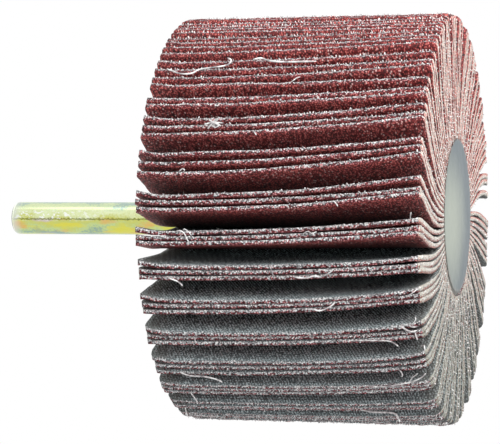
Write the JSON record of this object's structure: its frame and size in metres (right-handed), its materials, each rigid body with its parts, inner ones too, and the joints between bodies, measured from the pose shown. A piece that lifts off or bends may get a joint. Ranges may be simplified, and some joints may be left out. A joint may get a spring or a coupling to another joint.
{
  "type": "flap wheel",
  "caption": "Mounted flap wheel: packs of coated abrasive cloth flaps cast around a resin core on a plain round steel shank.",
  "frame": {"origin": "centre of the front end face, in the plane that the wheel stands on", "axes": "+Z along the shank from the front end face towards the free end of the shank; +X along the root of the first flap pack"},
  "size_m": [0.0776, 0.0776, 0.0889],
  "materials": {
    "plated_steel": "iridescent yellow zinc plating",
    "resin": "smooth cast resin",
    "abrasive_cloth": "red-brown grit on one face, grey cloth on the other"
  },
  "bodies": {
    "root": {"shank": "plated_steel", "resin_core": "resin", "flap_pack_1": "abrasive_cloth", "flap_pack_2": "abrasive_cloth", "flap_pack_3": "abrasive_cloth", "flap_pack_4": "abrasive_cloth", "flap_pack_5": "abrasive_cloth", "flap_pack_6": "abrasive_cloth", "flap_pack_7": "abrasive_cloth", "flap_pack_8": "abrasive_cloth", "flap_pack_9": "abrasive_cloth", "flap_pack_10": "abrasive_cloth", "flap_pack_11": "abrasive_cloth", "flap_pack_12": "abrasive_cloth", "flap_pack_13": "abrasive_cloth", "flap_pack_14": "abrasive_cloth", "flap_pack_15": "abrasive_cloth", "flap_pack_16": "abrasive_cloth", "flap_pack_17": "abrasive_cloth", "flap_pack_18": "abrasive_cloth", "flap_pack_19": "abrasive_cloth", "flap_pack_20": "abrasive_cloth", "flap_pack_21": "abrasive_cloth", "flap_pack_22": "abrasive_cloth", "flap_pack_23": "abrasive_cloth", "flap_pack_24": "abrasive_cloth", "flap_pack_25": "abrasive_cloth", "flap_pack_26": "abrasive_cloth", "flap_pack_27": "abrasive_cloth", "flap_pack_28": "abrasive_cloth", "flap_pack_29": "abrasive_cloth", "flap_pack_30": "abrasive_cloth", "flap_pack_31": "abrasive_cloth", "flap_pack_32": "abrasive_cloth", "flap_pack_33": "abrasive_cloth", "flap_pack_34": "abrasive_cloth", "flap_pack_35": "abrasive_cloth", "flap_pack_36": "abrasive_cloth"}
  },
  "joints": []
}
